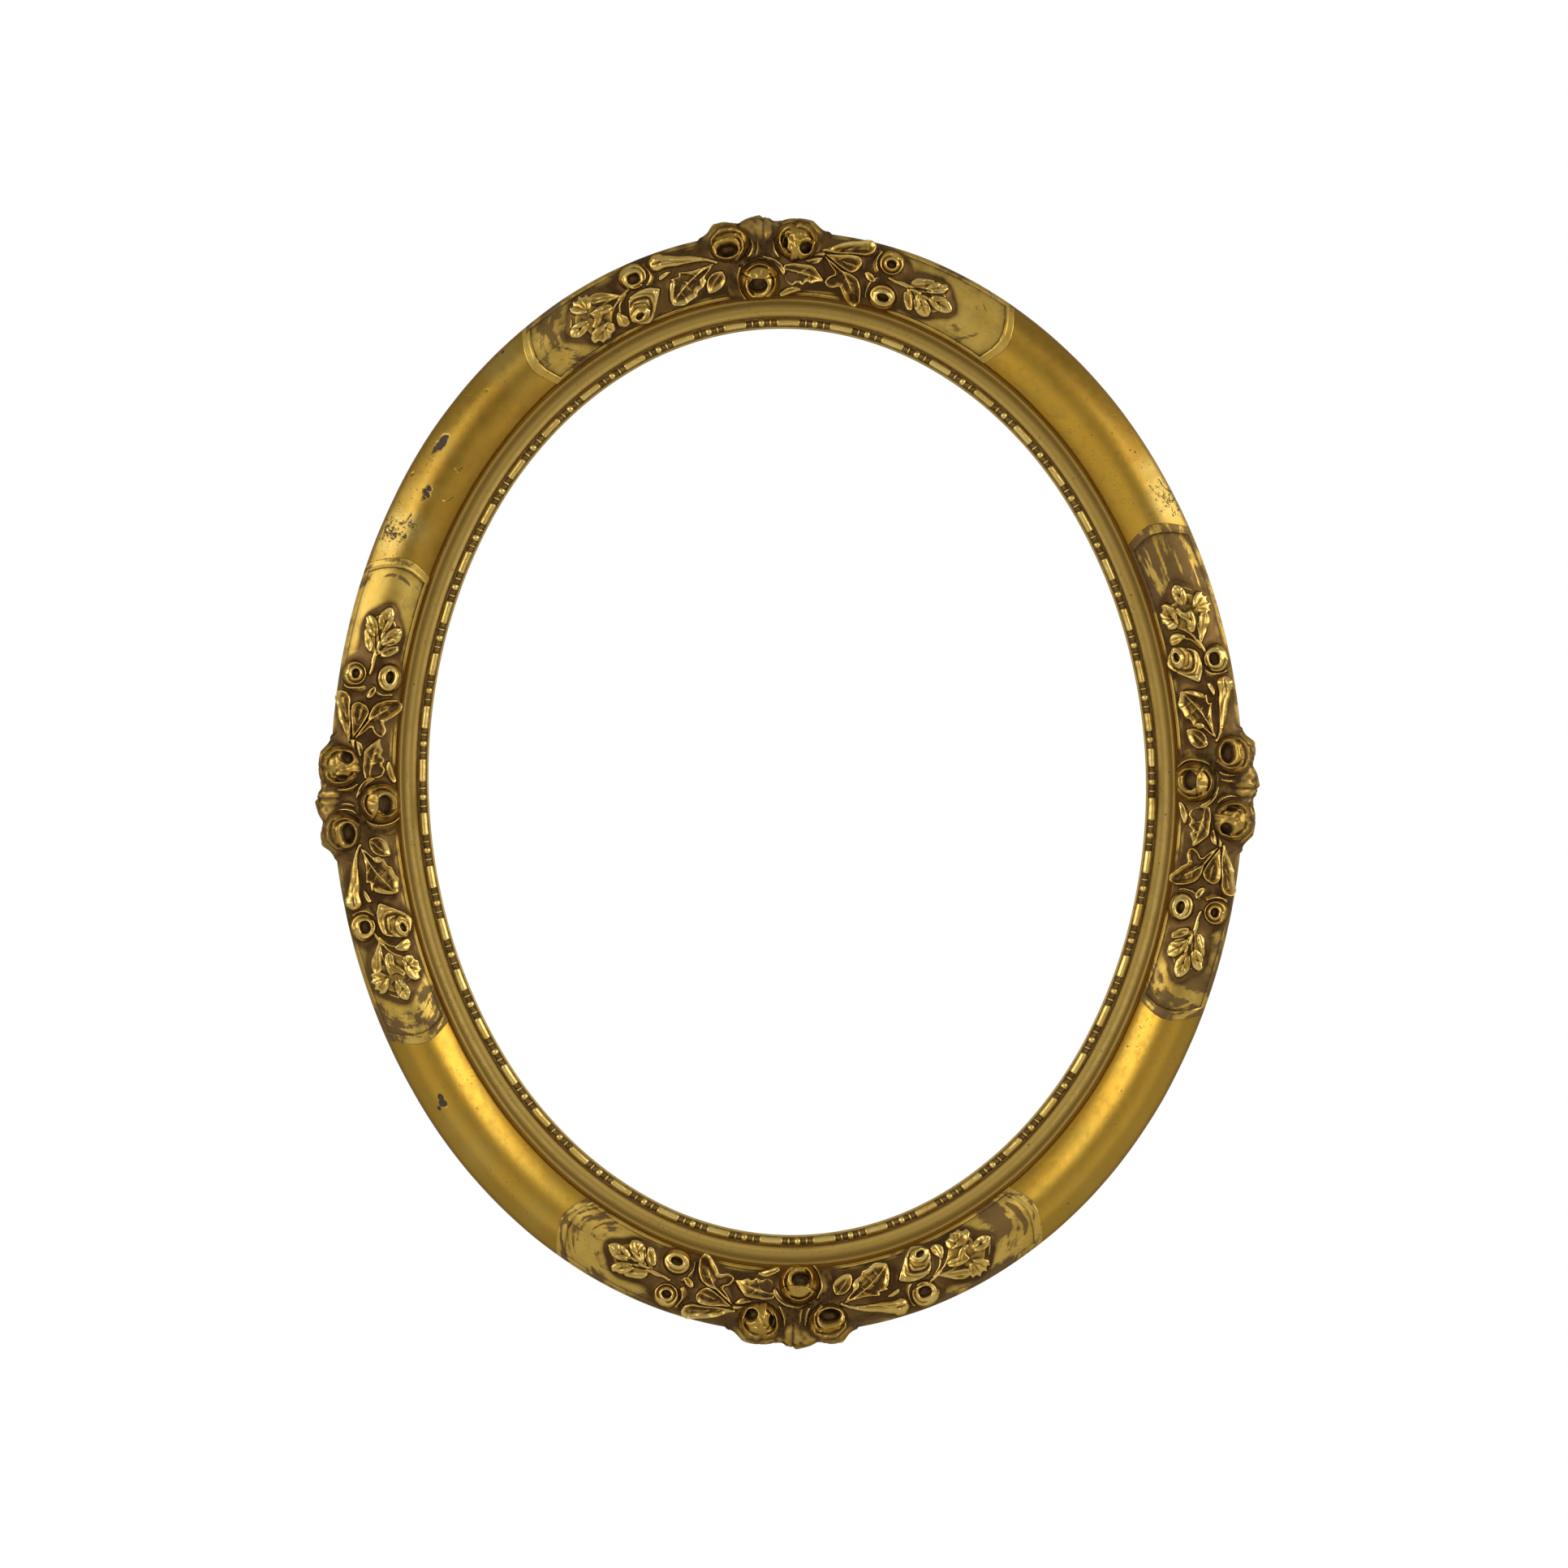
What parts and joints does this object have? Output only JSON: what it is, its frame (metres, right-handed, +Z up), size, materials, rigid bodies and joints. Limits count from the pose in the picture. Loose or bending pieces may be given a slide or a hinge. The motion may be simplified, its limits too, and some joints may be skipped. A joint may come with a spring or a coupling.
{
  "type": "oval picture frame",
  "caption": "Oval gilded picture frame: half-round moulding, bead-and-reel sight edge, applied rose-and-leaf ornaments, rabbet for an oval picture, turn buttons and a hanging ring.",
  "frame": {"origin": "centre of the oval, on the plane of the wooden back face", "axes": "+Z up along the long axis of the oval, +X to the right as seen from the front, +Y towards the wall, so the front faces -Y"},
  "size_m": [0.4993, 0.0501, 0.5999],
  "materials": {
    "gilt_moulding": "satin",
    "gilt_beads": "satin",
    "gilt_ornament": "satin",
    "back_wood": "matte",
    "dowel_wood": "matte",
    "brass_hardware": "satin",
    "screws": "satin"
  },
  "bodies": {
    "frame": {"front_rail_upper_right": "gilt_moulding", "front_rail_upper_left": "gilt_moulding", "front_rail_lower_left": "gilt_moulding", "front_rail_lower_right": "gilt_moulding", "rear_rail_right": "back_wood", "rear_rail_top": "back_wood", "rear_rail_left": "back_wood", "rear_rail_bottom": "back_wood", "bead_strip_upper_right": "gilt_beads", "bead_strip_upper_left": "gilt_beads", "bead_strip_lower_left": "gilt_beads", "bead_strip_lower_right": "gilt_beads", "ornament_top": "gilt_ornament", "ornament_right": "gilt_ornament", "ornament_bottom": "gilt_ornament", "ornament_left": "gilt_ornament", "front_joint_dowels": "dowel_wood", "rear_joint_tongues": "dowel_wood", "hanger_plate": "brass_hardware", "hanger_screw": "screws", "turn_button_screws": "screws"},
    "hanger_ring": {"hanger_ring": "brass_hardware"},
    "turn_button_upper_right": {"turn_button_upper_right": "brass_hardware"},
    "turn_button_upper_left": {"turn_button_upper_left": "brass_hardware"},
    "turn_button_lower_left": {"turn_button_lower_left": "brass_hardware"},
    "turn_button_lower_right": {"turn_button_lower_right": "brass_hardware"}
  },
  "joints": [
    {"name": "ring_hinge", "type": "hinge", "parent": "frame", "child": "hanger_ring", "pos_m": [0, 0.0025, 0.2745], "axis": [1, 0, 0], "range_deg": [0, 184]},
    {"name": "turn_button_upper_right_pivot", "type": "hinge", "parent": "frame", "child": "turn_button_upper_right", "pos_m": [0.17375, 0.0007, 0.14389], "axis": [0, 1, 0], "continuous": true},
    {"name": "turn_button_upper_left_pivot", "type": "hinge", "parent": "frame", "child": "turn_button_upper_left", "pos_m": [-0.17375, 0.0007, 0.14389], "axis": [0, 1, 0], "continuous": true},
    {"name": "turn_button_lower_left_pivot", "type": "hinge", "parent": "frame", "child": "turn_button_lower_left", "pos_m": [-0.17375, 0.0007, -0.14389], "axis": [0, 1, 0], "continuous": true},
    {"name": "turn_button_lower_right_pivot", "type": "hinge", "parent": "frame", "child": "turn_button_lower_right", "pos_m": [0.17375, 0.0007, -0.14389], "axis": [0, 1, 0], "continuous": true}
  ]
}
